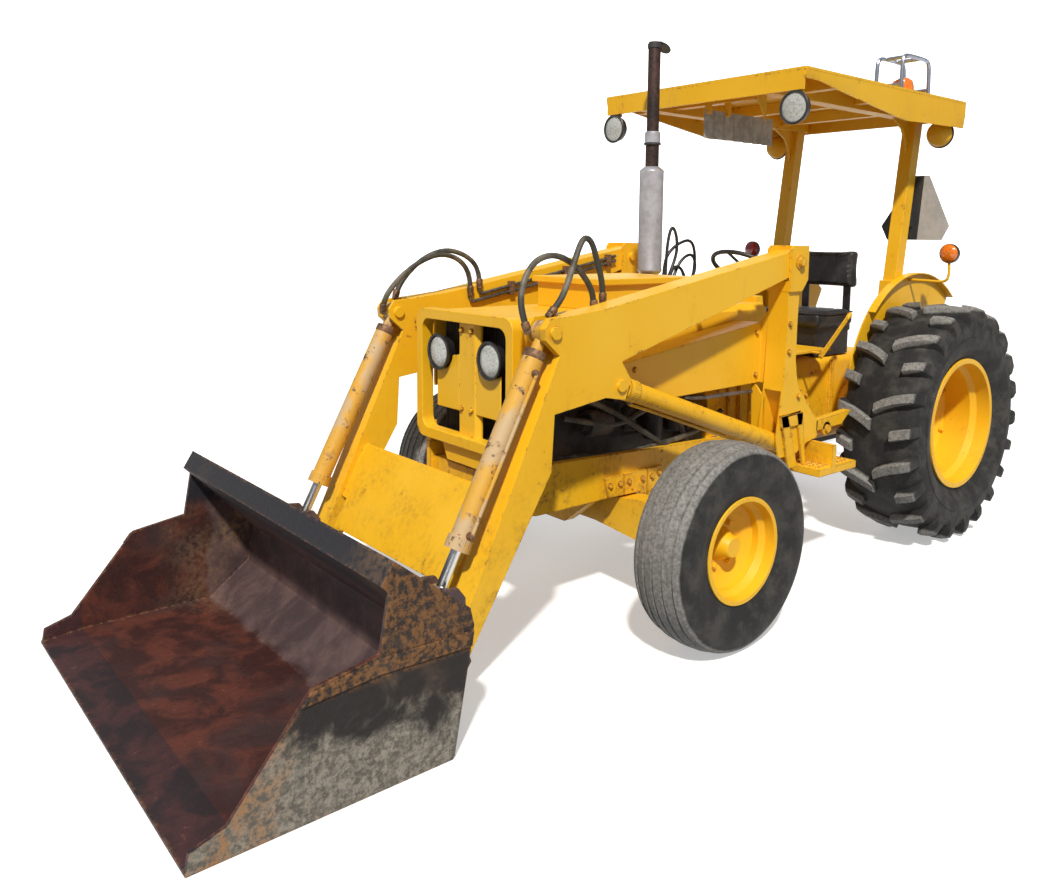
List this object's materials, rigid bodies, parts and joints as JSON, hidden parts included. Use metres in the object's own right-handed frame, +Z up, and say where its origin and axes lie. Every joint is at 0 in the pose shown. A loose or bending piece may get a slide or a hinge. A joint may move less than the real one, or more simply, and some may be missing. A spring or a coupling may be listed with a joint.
{
  "type": "loader tractor",
  "caption": "Industrial wheel tractor with a hydraulic front loader bucket on goose-neck arms and a two-post canopy over the seat.",
  "frame": {"origin": "on the ground, at the centre of the bounding box's bottom face", "axes": "+Z up, -Y forward to the bucket, +X to the machine's left side"},
  "size_m": [1.9704, 4.7699, 2.644],
  "materials": {
    "yellow": "worn gloss",
    "dark": "oily",
    "rust": "worn rusty",
    "tyre": "worn",
    "chrome": "polished",
    "silver": "satin",
    "lens": "clear",
    "amber": "clear",
    "vinyl": "worn vinyl",
    "grey": "weathered",
    "black": "matt"
  },
  "bodies": {
    "root": {"engine_block": "dark", "transmission": "yellow", "rear_axle": "yellow", "front_frame": "yellow", "front_axle": "yellow", "grille_guard": "yellow", "radiator": "dark", "headlamps": "lens", "hood": "yellow", "hood_tank": "yellow", "exhaust_stack": "silver", "masts": "yellow", "side_beams": "yellow", "steps": "yellow", "platform": "yellow", "fenders": "yellow", "rops_posts": "yellow", "canopy_roof": "yellow", "canopy_frame": "yellow", "canopy_cross_members": "yellow", "roof_side_flanges": "yellow", "roof_end_flanges": "yellow", "work_lamps": "black", "beacon": "amber", "beacon_guard": "silver", "rear_triangle": "grey", "seat_frame": "dark", "seat_cushion": "vinyl", "seat_back": "vinyl", "console": "yellow", "steering_wheel": "black", "fender_lamps": "amber", "drawbar": "dark"},
    "loader_arms": {"loader_arms": "yellow"},
    "bucket": {"bucket": "rust"},
    "knuckle_left": {"knuckle_left": "yellow"},
    "front_wheel_left": {"front_tyre_left": "tyre", "front_rim_left": "yellow"},
    "rear_wheel_left": {"rear_tyre_left": "tyre", "rear_rim_left": "yellow"},
    "lift_barrel_left": {"lift_barrel_left": "yellow"},
    "lift_rod_left": {"lift_rod_left": "chrome"},
    "tilt_barrel_left": {"tilt_barrel_left": "yellow"},
    "tilt_rod_left": {"tilt_rod_left": "chrome"},
    "knuckle_right": {"knuckle_right": "yellow"},
    "front_wheel_right": {"front_tyre_right": "tyre", "front_rim_right": "yellow"},
    "rear_wheel_right": {"rear_tyre_right": "tyre", "rear_rim_right": "yellow"},
    "lift_barrel_right": {"lift_barrel_right": "yellow"},
    "lift_rod_right": {"lift_rod_right": "chrome"},
    "tilt_barrel_right": {"tilt_barrel_right": "yellow"},
    "tilt_rod_right": {"tilt_rod_right": "chrome"}
  },
  "joints": [
    {"name": "arm_lift", "type": "hinge", "parent": "root", "child": "loader_arms", "pos_m": [0, 0.511, 1.517], "axis": [-1, 0, 0], "range_deg": [0, 70]},
    {"name": "bucket_tilt", "type": "hinge", "parent": "loader_arms", "child": "bucket", "pos_m": [0, -1.4, 0.165], "axis": [1, 0, 0], "range_deg": [-20, 105]},
    {"name": "steer_left", "type": "hinge", "parent": "root", "child": "knuckle_left", "pos_m": [0.64, -0.297, 0.415], "axis": [0, 0, 1], "range_deg": [-35, 35]},
    {"name": "front_wheel_left_spin", "type": "hinge", "parent": "knuckle_left", "child": "front_wheel_left", "pos_m": [0.86, -0.297, 0.415], "axis": [1, 0, 0], "continuous": true},
    {"name": "rear_wheel_left_spin", "type": "hinge", "parent": "root", "child": "rear_wheel_left", "pos_m": [0.675, 1.725, 0.642], "axis": [1, 0, 0], "continuous": true},
    {"name": "lift_barrel_left_swing", "type": "hinge", "parent": "root", "child": "lift_barrel_left", "pos_m": [0.545, 0.479, 0.654], "axis": [-1, 0, 0], "range_deg": [-1, 50]},
    {"name": "lift_rod_left_slide", "type": "slide", "parent": "lift_barrel_left", "child": "lift_rod_left", "axis": [0, -0.9413, 0.3376], "range_m": [-0.005, 0.8]},
    {"name": "tilt_barrel_left_swing", "type": "hinge", "parent": "loader_arms", "child": "tilt_barrel_left", "pos_m": [0.535, -0.963, 1.274], "axis": [1, 0, 0], "range_deg": [-14, 3]},
    {"name": "tilt_rod_left_slide", "type": "slide", "parent": "tilt_barrel_left", "child": "tilt_rod_left", "axis": [0, -0.464, -0.8858], "range_m": [-0.075, 0.38]},
    {"name": "steer_right", "type": "hinge", "parent": "root", "child": "knuckle_right", "pos_m": [-0.64, -0.297, 0.415], "axis": [0, 0, 1], "range_deg": [-35, 35]},
    {"name": "front_wheel_right_spin", "type": "hinge", "parent": "knuckle_right", "child": "front_wheel_right", "pos_m": [-0.86, -0.297, 0.415], "axis": [1, 0, 0], "continuous": true},
    {"name": "rear_wheel_right_spin", "type": "hinge", "parent": "root", "child": "rear_wheel_right", "pos_m": [-0.675, 1.725, 0.642], "axis": [1, 0, 0], "continuous": true},
    {"name": "lift_barrel_right_swing", "type": "hinge", "parent": "root", "child": "lift_barrel_right", "pos_m": [-0.545, 0.479, 0.654], "axis": [-1, 0, 0], "range_deg": [-1, 50]},
    {"name": "lift_rod_right_slide", "type": "slide", "parent": "lift_barrel_right", "child": "lift_rod_right", "axis": [0, -0.9413, 0.3376], "range_m": [-0.005, 0.8]},
    {"name": "tilt_barrel_right_swing", "type": "hinge", "parent": "loader_arms", "child": "tilt_barrel_right", "pos_m": [-0.535, -0.963, 1.274], "axis": [1, 0, 0], "range_deg": [-14, 3]},
    {"name": "tilt_rod_right_slide", "type": "slide", "parent": "tilt_barrel_right", "child": "tilt_rod_right", "axis": [0, -0.464, -0.8858], "range_m": [-0.075, 0.38]}
  ],
  "couplings": [
    {"joint": "lift_barrel_left_swing", "follows": "arm_lift", "ratio": 0.6583},
    {"joint": "lift_rod_left_slide", "follows": "arm_lift", "m_per_rad": 0.6289},
    {"joint": "tilt_barrel_left_swing", "follows": "bucket_tilt", "ratio": -0.12},
    {"joint": "tilt_rod_left_slide", "follows": "bucket_tilt", "m_per_rad": 0.2005},
    {"joint": "lift_barrel_right_swing", "follows": "arm_lift", "ratio": 0.6583},
    {"joint": "lift_rod_right_slide", "follows": "arm_lift", "m_per_rad": 0.6289},
    {"joint": "tilt_barrel_right_swing", "follows": "bucket_tilt", "ratio": -0.12},
    {"joint": "tilt_rod_right_slide", "follows": "bucket_tilt", "m_per_rad": 0.2005},
    {"joint": "steer_right", "follows": "steer_left", "ratio": 1}
  ]
}
